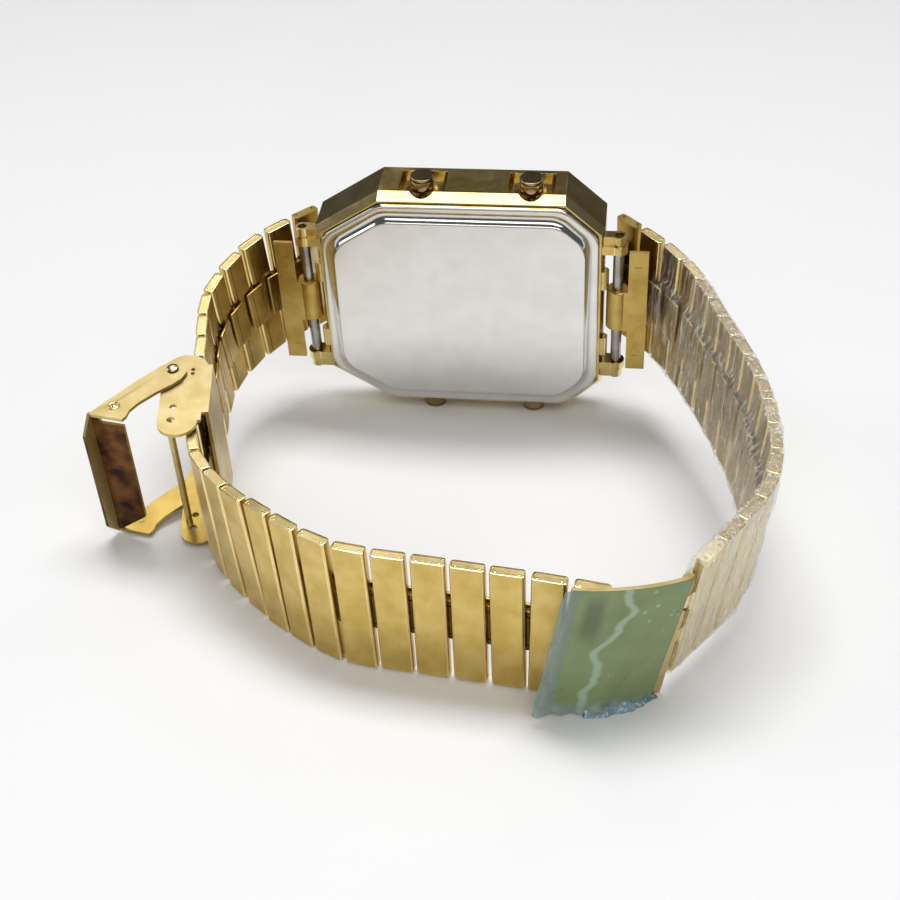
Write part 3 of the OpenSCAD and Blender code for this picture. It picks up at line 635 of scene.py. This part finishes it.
# Last plate of side b has no hinge after it, so its broadest face gives its frame
def openPlateFrame(node, start, axis):
    shares = {}
    for face in nodes[node].data.polygons:
        key = tuple(round(v, 2) for v in face.normal)
        shares[key] = shares.get(key, 0) + face.area
    outward = Vector(max(shares, key=shares.get)).normalized()
    middle = (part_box(node)[0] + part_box(node)[1]) / 2
    middleOfLoop = Vector((0, -10 * mm, middle.z))
    y = outward if outward.dot(middleOfLoop - middle) > 0 else -outward
    z = (axis - axis.dot(y) * y).normalized()
    x = z.cross(y)
    return plateFrame(start, start + x * plate["pitch"] * mm, z, "b")


def bendBetween(first, second):
    a, b = first.to_3x3().col[0], second.to_3x3().col[0]
    return a.angle(b)


# Folded plate: rounded long edges, recessed ends with a bright rim and two dots, seam on the wrist side
def plateShell(half):
    bm = cornered((plate["length"], plate["thick"], 2 * half), plate["edge"], 4, "z")
    caps = [f for f in bm.faces if abs(f.normal.z) > 0.9]
    rims = [e for f in caps for e in f.edges]
    bevelEdges(bm, rims, plate["rimEdge"], 2)
    for face in bm.faces:
        flat = max(abs(v) for v in face.normal) > 0.98
        face.material_index = (wristSlot if face.normal.y > 0.98 else flatSlot) if flat else edgeSlot
    caps = [f for f in bm.faces if abs(f.normal.z) > 0.98]
    made = bmesh.ops.inset_individual(bm, faces=caps, thickness=plate["rim"] - plate["rimEdge"],
                                      use_even_offset=True)
    paintFaces(made["faces"], edgeSlot)
    made = bmesh.ops.inset_individual(bm, faces=caps, thickness=plate["recessSlope"],
                                      depth=-plate["recess"], use_even_offset=True)
    paintFaces(made["faces"] + caps, capSlot)
    wrist = [f for f in bm.faces if f.normal.y > 0.98 and abs(f.calc_center_median().z) < 0.1]
    for x in (plate["seam"], plate["seam"] + plate["seamWidth"]):
        geom = wrist + list({e for f in wrist for e in f.edges}) + list({v for f in wrist for v in f.verts})
        cut = bmesh.ops.bisect_plane(bm, geom=geom, plane_co=(x, 0, 0), plane_no=(1, 0, 0))
        wrist = [g for g in cut["geom"] if isinstance(g, bmesh.types.BMFace)]
    middle = plate["seam"] + plate["seamWidth"] / 2
    slot = [f for f in bm.faces if f.normal.y > 0.98 and abs(f.calc_center_median().x - middle) < 0.04]
    made = bmesh.ops.inset_individual(bm, faces=slot, thickness=plate["seamSlope"],
                                      depth=-plate["seamDepth"])
    paintFaces(made["faces"] + slot, shadeSlot)
    return bm


def plateDots(half):
    dots = []
    x, y = plate["dotPlace"]
    for place in ((-x, -1), (-x, 1), (x, -1), (x, 1)):
        dot = rod(plate["dot"], -plate["dotSunk"], plate["dotRise"], 0.03, 10)
        dots.append(painted(moved(dot, (place[0], y, place[1] * (half - plate["recess"]))), edgeSlot))
    return dots


# Middle barrel and pin of the hinge ahead, with the connector bar that bridges the gap to the next plate
def leadHinge(bend):
    turn = bend / 2
    rise = connector["rise"] + connector["half"] * math.sin(turn)
    pinHalf = hinge["half"] + hinge["side"]
    barrel = rod(hinge["barrel"], -hinge["half"], hinge["half"])
    pin = rod(hinge["pin"], -pinHalf, pinHalf)
    barSize = (2 * connector["half"], connector["thick"], 2 * connector["width"])
    bar = cornered(barSize, connector["edge"], 3)
    seam = cornered((*connector["seam"], 2 * connector["width"] - connector["seamIn"]), 0.02, 1)
    web = cornered((connector["web"], rise, 2 * hinge["half"] - connector["webIn"]), 0.03, 1)
    moved(bar, (0, rise + connector["thick"] / 2, 0))
    moved(seam, (connector["seamPlace"], rise + connector["thick"], 0))
    moved(web, (0, connector["webRise"] + rise / 2, 0))
    parts = [painted(barrel, shadeSlot), painted(pin, shadeSlot)]
    for part, slot in ((bar, wristSlot), (seam, shadeSlot), (web, shadeSlot)):
        parts.append(moved(painted(part, slot), (0, 0, 0), turn))
    return [moved(p, (plate["pitch"] / 2, plate["hingeIn"], 0)) for p in parts]


# Two outer barrels of the hinge behind, each with the tab that holds it
def trailBarrels():
    parts = []
    for s in (-1, 1):
        low, high = hinge["half"] + hinge["gap"], hinge["half"] + hinge["side"]
        barrel = rod(hinge["barrel"], low, high, 0.05)
        tab = cornered((*hinge["tab"], high - low), 0.03, 1)
        moved(tab, (hinge["tab"][0] / 2, 0, (low + high) / 2))
        for part in (barrel, tab):
            moved(painted(part, shadeSlot), (-plate["pitch"] / 2, plate["hingeIn"], 0))
            parts.append(mirrored(part) if s < 0 else part)
    return parts


def makeBracelet():
    for side in "ab":
        frames = plateFrames(side)
        if side == "b":
            points, axes = hingePoints("b")
            last = lastPlate["b"]
            frames[last] = openPlateFrame(f"b_link_{last}", points[last - 1], axes[last - 1])
        for i, place in frames.items():
            half = plate["bandHalf"] - plate["taper"] * i
            bend = bendBetween(place, frames[i + 1]) if i + 1 in frames else 0
            if side == "b" and i == lastPlate["b"]:
                softened(f"b_link_{i}", place, ["veiledGold"], width=0.12, seed=i)
                continue
            parts = [plateShell(half)] + plateDots(half) + leadHinge(bend)
            held = side == "a" and i in heldPlates
            if not held or i == heldPlates[0]:
                parts += trailBarrels()
            node = "a_held_links" if held else f"{side}_link_{i:02d}"
            seed = i + firstSeed[side]
            finish = veiledFinish if side == "b" and i >= plate["veiledFrom"] else plateFinish
            finishPiece(f"{side}_plate_{i:02d}", gathered(parts), place, finish, node, (node,), seed)
        allFrames[side] = frames
        print("bracelet side", side, "has", len(frames), "plates")


# Clasp in the frame of the middle plate that it holds: pivot heads and pressed rings, painted shade on the
# cross plate
clasp = dict(cheek=9.5, sheet=0.45, armGap=0.12, pivot=(-3.1, -3.0), open=46, reach=9.4,
             head=0.78, headHeight=0.24, headLift=0.22, ring=0.62, ringTube=0.13, domeShare=0.62,
             domeHeight=0.14, shadeFrom=9, shadeFacing=0.3, lowShadeFrom=0.2)
caseFinish = ["caseGold", "edgeGold"]
sliderFinish = ["sheetGold", "innerShadeGold"]
leverFinish = ["sheetGold", "shadedLeverGold", "innerShadeGold"]


# Painted shade on the clasp: the lever's cross plate is painted near-black brown on its outward faces, and
# its lower arm and the slider's lower cheek take the darker inner gold
def shadeLever(lever, place):
    back = place.inverted()
    turn = back.to_3x3().normalized()
    opened = Matrix.Rotation(math.radians(clasp["open"]), 4, "Z")
    for face in lever.data.polygons:
        centre = opened @ (back @ face.center - Vector((*clasp["pivot"], 0)))
        normal = opened.to_3x3() @ (turn @ face.normal)
        outward = centre.x > clasp["shadeFrom"] and normal.x > clasp["shadeFacing"]
        if centre.z < -clasp["cheek"] - clasp["sheet"]:
            face.material_index = leverFinish.index("innerShadeGold")
        elif abs(centre.z) < clasp["cheek"] and outward:
            face.material_index = leverFinish.index("shadedLeverGold")


# Painted shade: the slider's lower cheek takes the darker inner gold
def shadeLowerCheek(slider, place):
    back = place.inverted()
    for face in slider.data.polygons:
        if (back @ face.center).z < clasp["lowShadeFrom"] - clasp["cheek"]:
            face.material_index = sliderFinish.index("innerShadeGold")


# Steel back: steps of its rim as pairs of share of the way in and height, in the case's own frame
backPlate = dict(halfLength=20, halfWidth=18.2, sixCut=(9.2, 5.9), twelveCut=(5.4, 5),
                 rim=(0.75, 1.45), run=(2, 2.35), corner=3.2, softer=0.6, slope=(-0.92, -0.4),
                 steps=((0, 0.3), (0, -0.35), (0.03, -0.48), (0.09, -0.55), (0.18, -0.57), (0.3, -0.56),
                        (0.42, -0.57), (0.56, -0.64), (0.7, -0.77), (0.8, -0.9), (0.86, -1.08),
                        (0.9, -1.28), (0.94, -1.4), (1.02, -1.45)))


# New length of one leg of a corner cut after both sides move in by d
def cutLeg(a, b, d):
    return a - d * (1 + (a - math.hypot(a, b)) / b)


def backCorners(share):
    inX, inZ = [start + run * share for start, run in zip(backPlate["rim"], backPlate["run"])]
    long, wide, d = backPlate["halfLength"] - inX, backPlate["halfWidth"] - inZ, (inX + inZ) / 2
    six, twelve = [(cutLeg(*cut, d), cutLeg(*reversed(cut), d))
                   for cut in (backPlate["sixCut"], backPlate["twelveCut"])]
    upper = [(-long, wide - six[1]), (-long + six[0], wide), (long - twelve[0], wide),
             (long, wide - twelve[1])]
    return [Vector(p) for p in upper] + [Vector((x, -z)) for x, z in reversed(upper)]


# The same outline with an arc at each corner
def roundedLoop(corners, radius, steps=6):
    loop = []
    for k, corner in enumerate(corners):
        back = (corners[k - 1] - corner).normalized()
        ahead = (corners[(k + 1) % len(corners)] - corner).normalized()
        half = back.angle(ahead) / 2
        middle = corner + (back + ahead).normalized() * radius / math.sin(half)
        start = (corner + back * radius / math.tan(half) - middle).normalized()
        end = (corner + ahead * radius / math.tan(half) - middle).normalized()
        loop += [middle + start.slerp(end, n / steps) * radius for n in range(steps + 1)]
    return loop


# The slope round the back edge, picked by the way its faces point, takes the lighter edge gold: a painted
# highlight
def highlightBackSlope(case):
    upright = caseFrame.to_3x3().normalized().inverted()
    for face in case.data.polygons:
        if backPlate["slope"][0] < (upright @ face.normal).y < backPlate["slope"][1]:
            face.material_index = caseFinish.index("edgeGold")


def makeCaseBack():
    bm = bmesh.new()
    loops = []
    for share, height in backPlate["steps"]:
        outline = roundedLoop(backCorners(share), backPlate["corner"] + backPlate["softer"] * share)
        loops.append([bm.verts.new((p.x, height, p.y)) for p in outline])
    for low, high in zip(loops, loops[1:]):
        for k in range(len(low)):
            bm.faces.new((low[k - 1], low[k], high[k], high[k - 1]))
    bm.faces.new(loops[0])
    bm.faces.new(loops[-1])
    bmesh.ops.recalc_face_normals(bm, faces=bm.faces)
    body = nodes["case_back"]["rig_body"]
    finishPiece("steel_back", bm, caseFrame, ["backSteel"], body, ("case_back",))


# Turned pushers: radius, start and end of each step, from the middle of the case
pusher = dict(low=-4.9, high=9.9, height=2.6, edge=0.09,
              steps=((0.8, 13.9, 17.8), (1.2, 15.1, 15.5), (1.6, 17.7, 19.3), (1.42, 19.2, 19.5),
                     (1.56, 19.42, 19.8)))


def makePushers():
    for node, x, s in (("pusher_2", "high", 1), ("pusher_4", "low", 1), ("pusher_8", "low", -1),
                       ("pusher_10", "high", -1)):
        bm = gathered([rod(radius, start, end, pusher["edge"], 36) for radius, start, end in pusher["steps"]])
        if s < 0:
            mirrored(bm)
        moved(bm, (pusher[x], pusher["height"], 0))
        body = nodes[node]["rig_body"]
        finishPiece(f"{node}_turned", bm, caseFrame, ["pusherGold"], body, (node,), seed=s)


# Rolled tube of each end piece, round its spring bar
endRoll = dict(place=(21.9, 1.2), radius=1.56, half=3.2, edge=0.15)


def makeMetalwork():
    sliderFrame = allFrames["a"][heldPlates[1]]
    coverFrame = allFrames["a"][lastPlate["a"]]
    case = softened("case_body", caseFrame, caseFinish, width=0.09)
    highlightBackSlope(case)
    makeCaseBack()
    makePushers()
    for side, s in (("a", -1), ("b", 1)):
        node = f"{side}_end_piece"
        body = nodes[node]["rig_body"]
        softened(node, caseFrame, ["innerShadeGold"], width=0.1, seed=s)
        roll = rod(endRoll["radius"], -endRoll["half"], endRoll["half"], endRoll["edge"], 32)
        moved(roll, (s * endRoll["place"][0], endRoll["place"][1], 0))
        finishPiece(f"{side}_end_roll", roll, caseFrame, ["innerShadeGold"], body, seed=s)
    slider = softened("slider_body", sliderFrame, sliderFinish, width=0.1, seed=3)
    shadeLowerCheek(slider, sliderFrame)
    lever = softened("lever", sliderFrame, leverFinish, width=0.1, seed=4)
    shadeLever(lever, sliderFrame)
    softened("cover_plate", coverFrame, ["sheetGold"], width=0.08, seed=5)
    print("case, clasp and cover plate dressed")


# A low round head, flat below
def domedHead(radius, height):
    bm = bmesh.new()
    angles = [math.radians(15 * k) for k in range(7)]
    rise = [bm.verts.new((radius * math.cos(a), 0, height * math.sin(a))) for a in angles]
    edges = [bm.edges.new(pair) for pair in zip(rise, rise[1:])]
    bmesh.ops.spin(bm, geom=rise + edges, cent=(0, 0, 0), axis=(0, 0, 1), angle=math.tau, steps=28,
                   use_merge=True)
    bmesh.ops.remove_doubles(bm, verts=bm.verts, dist=1e-4)
    rim = [e for e in bm.edges if e.is_boundary]
    bmesh.ops.edgeloop_fill(bm, edges=rim)
    bmesh.ops.recalc_face_normals(bm, faces=bm.faces)
    return bm


# A ring of round section, lying flat
def tubeRing(radius, tube):
    bm = bmesh.new()
    made = bmesh.ops.create_circle(bm, segments=10, radius=tube)
    bmesh.ops.rotate(bm, cent=(0, 0, 0), matrix=Matrix.Rotation(math.pi / 2, 3, "X"), verts=made["verts"])
    bmesh.ops.translate(bm, vec=(radius, 0, 0), verts=made["verts"])
    bmesh.ops.spin(bm, geom=bm.verts[:] + bm.edges[:], cent=(0, 0, 0), axis=(0, 0, 1), angle=math.tau,
                   steps=32, use_merge=True)
    bmesh.ops.remove_doubles(bm, verts=bm.verts, dist=1e-4)
    bmesh.ops.recalc_face_normals(bm, faces=bm.faces)
    return bm


def makeClaspTrim():
    place = allFrames["a"][heldPlates[1]]
    top = clasp["cheek"] + 2 * clasp["sheet"] + clasp["armGap"]
    armTurn = Matrix.Rotation(math.radians(-clasp["open"]), 4, "Z")
    for label, s in (("upper", 1), ("lower", -1)):
        head = domedHead(clasp["head"], clasp["headHeight"])
        moved(head, (clasp["pivot"][0], clasp["pivot"][1], top + clasp["headLift"]))
        ring = tubeRing(clasp["ring"], clasp["ringTube"])
        dome = domedHead(clasp["ring"] * clasp["domeShare"], clasp["domeHeight"])
        press = gathered([moved(p, (clasp["reach"], 0, top)) for p in (ring, dome)])
        bmesh.ops.rotate(press, cent=(0, 0, 0), matrix=armTurn.to_3x3(), verts=press.verts)
        moved(press, (*clasp["pivot"], 0))
        for bm, name, body in ((head, "pivot_head", "slider_body"), (press, "arm_dimple", "lever")):
            if s < 0:
                mirrored(bm)
            finishPiece(f"{name}_{label}", bm, place, ["edgeGold"], body)
    print("clasp trim made")


# Protective film over the cover plate: x along the plate's chord, z along its width, y towards the wrist
film = dict(middle=(24.1, -62, 1.2), turn=(22, 3.8, 9.3), chord=13.9, bulge=0.8, thick=0.6, gap=0.06,
            left=(-7.9, -8.4), right=(6.85, 5.7), top=9.15, low=-9.6, sheet=0.05, across=70, down=80,
            looseFrom=(-6.9, -8.3), looseRise=(0.7, 0.9), looseWave=(0.55, 0.9))
# Its loose end, rolled up under the lower right corner: swell and sweep as start and growth of an angle
curl = dict(start=-2.6, end=6.4, low=-9.9, radius=(0.4, 1.2), swell=(0.5, 2.3), sweep=(-70, 290), out=0.6,
            crumple=0.45, along=60, around=16)


def coverFrameOf():
    heading, tilt, lean = [math.radians(v) for v in film["turn"]]
    turn = Matrix.Rotation(-tilt, 4, "X") @ Matrix.Rotation(lean, 4, "Y") @ Matrix.Rotation(heading, 4, "Z")
    return caseFrame @ Matrix.Translation(Vector(film["middle"])) @ turn


def thicken(piece):
    sheet = piece.modifiers.new("sheet", "SOLIDIFY")
    sheet.thickness = film["sheet"] * mm
    sheet.offset = 0


def makeFilmCurl(radius, place):
    bm = bmesh.new()
    bmesh.ops.create_grid(bm, x_segments=curl["along"], y_segments=curl["around"], size=0.5)
    for vert in bm.verts:
        u, v = vert.co.x + 0.5, vert.co.y + 0.5
        x = curl["start"] + (curl["end"] - curl["start"]) * u
        swell = math.sin(curl["swell"][0] + curl["swell"][1] * u) ** 2
        wide = curl["radius"][0] + (curl["radius"][1] - curl["radius"][0]) * swell
        turn = math.radians(curl["sweep"][0] + curl["sweep"][1] * v)
        rough = noise.noise(Vector((x * 0.6, 2 * v, 7))) + 0.3 * noise.noise(Vector((x * 1.6, 4 * v, 2)))
        wide *= 1 + curl["crumple"] * rough
        angle = x / radius
        out = radius + curl["out"] + wide * math.cos(turn)
        bowed = radius - film["bulge"] - out * math.cos(angle)
        vert.co = (out * math.sin(angle), bowed, curl["low"] + wide * math.sin(turn))
    restOnTable(bm, place)
    thicken(finishPiece("film_curl", bm, place, ["blueFilm"], "cover_plate"))


def makeFilm():
    radius = ((film["chord"] / 2) ** 2 + film["bulge"] ** 2) / (2 * film["bulge"])
    bm = bmesh.new()
    bmesh.ops.create_grid(bm, x_segments=film["across"], y_segments=film["down"], size=0.5)
    for vert in bm.verts:
        u, v = vert.co.x + 0.5, vert.co.y + 0.5
        z = film["low"] + (film["top"] - film["low"]) * v
        left = film["left"][1] + (film["left"][0] - film["left"][1]) * v
        right = film["right"][1] + (film["right"][0] - film["right"][1]) * v
        x = left + (right - left) * u
        crease = noise.noise(Vector((x * 0.9, z * 0.5, 3.1)))
        loose = sum(max(0, start - along) * rise for start, along, rise
                    in zip(film["looseFrom"], (x, z), film["looseRise"]))
        wave = film["looseWave"][0] + film["looseWave"][1] * crease
        lift = film["gap"] + film["thick"] / 2 + loose * wave
        angle = x / radius
        out = radius + lift
        bowed = radius - film["bulge"] - out * math.cos(angle)
        vert.co = (out * math.sin(angle), bowed, z + loose * 0.5 * crease)
    place = coverFrameOf()
    restOnTable(bm, place)
    thicken(finishPiece("cover_film_sheet", bm, place, ["film"], "cover_plate", ("cover_film",)))
    makeFilmCurl(radius, place)
    print("film laid on the cover plate")


# Clear wrap round the plates of side b, one crinkled sleeve for each, pressed in beside the connectors
wrapped = dict(first=3, last=17, thickFrom=5, clear=0.16, overConnector=1.25, lap=0.25, edge=0.4,
               cutsAcross=26, cutsAlong=9, hug=1.0, hugFrom=0.3, hugOver=2.5, crinkle=0.26, seedStep=0.12)


def makeWrap():
    for i in range(wrapped["first"], wrapped["last"] + 1):
        place = allFrames["b"][i]
        half = plate["bandHalf"] - plate["taper"] * i + wrapped["clear"]
        low = -plate["thick"] / 2 - wrapped["clear"]
        high = plate["thick"] / 2 + wrapped["overConnector"]
        length = plate["pitch"] + wrapped["lap"]
        bm = cornered((length, high - low, 2 * half), wrapped["edge"], 3, "x")
        moved(bm, (0, (high + low) / 2, 0))
        ends = [f for f in bm.faces if abs(f.normal.x) > 0.9]
        bmesh.ops.delete(bm, geom=ends, context="FACES_ONLY")
        long = [e for e in bm.edges if abs((e.verts[0].co - e.verts[1].co).z) > half]
        bmesh.ops.subdivide_edges(bm, edges=long, cuts=wrapped["cutsAcross"], use_grid_fill=True)
        run = [e for e in bm.edges if abs((e.verts[0].co - e.verts[1].co).x) > length / 2]
        bmesh.ops.subdivide_edges(bm, edges=run, cuts=wrapped["cutsAlong"], use_grid_fill=True)
        bm.normal_update()
        for vert in bm.verts:
            past = abs(vert.co.z) - connector["width"] - wrapped["hugFrom"]
            beside = min(1, max(0, past / wrapped["hugOver"]))
            if vert.co.y > 0:
                eased = beside * beside * (3 - 2 * beside)
                vert.co.y -= wrapped["hug"] * eased * min(1, vert.co.y / high)
            along = vert.co + Vector((i * plate["pitch"], 0, 0))
            fold = noise.noise(Vector((along.x * 0.5, along.y * 0.8, along.z * 0.28)))
            fine = noise.noise(Vector((along.x * 1.3 + 9, along.y * 1.7, along.z * 0.8)))
            vert.co += vert.normal * wrapped["crinkle"] * (0.75 * fold + 0.45 * fine)
        restOnTable(bm, place)
        finish = "thinWrap" if i < wrapped["thickFrom"] else "thickWrap"
        seed = i * wrapped["seedStep"]
        finishPiece(f"wrap_{i:02d}", bm, place, [finish], f"b_link_{i:02d}", seed=seed)
    print("wrap put round side b")


# Dial side: hour marks round the hands, minute ring, display figures
dial = dict(handsX=4.2, face=5.8, ringRadius=9.9, ringTube=0.07, markIn=0.4, markLength=1.5,
            markWidth=0.42, markHeight=0.12, raised=0.03)
display = dict(face=5.75, middle=-11.6, digitHeight=4.2, digitWidth=2.1, stroke=0.42, thick=0.06,
               spacing=3.0, colonGap=0.5, colonHalf=0.8, figures="1008")
# Strokes that each figure uses: a top, b and c right, d bottom, e and f left, g middle
strokesOf = {"1": "bc", "0": "abcdef", "8": "abcdefg"}


def stroke(size, place):
    return moved(cornered(size, 0.03, 1), place)


def makeDial():
    marks = []
    for hour in range(12):
        turn = math.radians(30 * hour)
        reach = dial["ringRadius"] - dial["markLength"] / 2 - dial["markIn"]
        mark = cornered((dial["markLength"], dial["markHeight"], dial["markWidth"]), 0.04, 2)
        moved(mark, (reach, dial["face"] + dial["markHeight"] / 2, 0))
        bmesh.ops.rotate(mark, cent=(0, 0, 0), matrix=Matrix.Rotation(turn, 3, "Y"), verts=mark.verts)
        marks.append(moved(mark, (dial["handsX"], 0, 0)))
    finishPiece("hour_marks", gathered(marks), caseFrame, ["edgeGold"], "case")
    ring = tubeRing(dial["ringRadius"], dial["ringTube"])
    bmesh.ops.rotate(ring, cent=(0, 0, 0), matrix=Matrix.Rotation(math.pi / 2, 3, "X"), verts=ring.verts)
    moved(ring, (dial["handsX"], dial["face"] + dial["raised"], 0))
    finishPiece("minute_ring", ring, caseFrame, ["inkBlack"], "case")


def makeFigures():
    h, w, s = display["digitHeight"], display["digitWidth"], display["stroke"]
    level = display["face"] + display["thick"] / 2
    crosswise, lengthwise = (s, display["thick"], w), (h / 2 - s, display["thick"], s)
    strokes = dict(a=(crosswise, h / 2, 0), g=(crosswise, 0, 0), d=(crosswise, -h / 2, 0),
                   b=(lengthwise, h / 4, 1), c=(lengthwise, -h / 4, 1),
                   f=(lengthwise, h / 4, -1), e=(lengthwise, -h / 4, -1))
    parts = []
    for k, figure in enumerate(display["figures"]):
        z = (k - 1.5) * display["spacing"] + (display["colonGap"] if k > 1 else -display["colonGap"])
        for label in strokesOf[figure]:
            size, x, end = strokes[label]
            parts.append(stroke(size, (display["middle"] + x, level, z + end * w / 2)))
    for x in (-display["colonHalf"], display["colonHalf"]):
        parts.append(stroke((s, display["thick"], s), (display["middle"] + x, level, 0)))
    finishPiece("display_figures", gathered(parts), caseFrame, ["inkBlack"], "case")
    print("dial and display dressed")


def dressNodes():
    kept = dict(spring_bars="barSteel", back_gasket="blackRubber", crystal="glass", dial="dialGold",
                lcd="displayGrey", module="frameResin", battery="cellSteel", hour_hand="dialGold",
                minute_hand="dialGold")
    for name, finish in kept.items():
        for slot in nodes[name].material_slots:
            slot.material = finishes[finish]
    print("plain nodes dressed")


setCamera()
setStudio()
makeBracelet()
makeMetalwork()
makeClaspTrim()
makeFilm()
makeWrap()
makeDial()
makeFigures()
dressNodes()
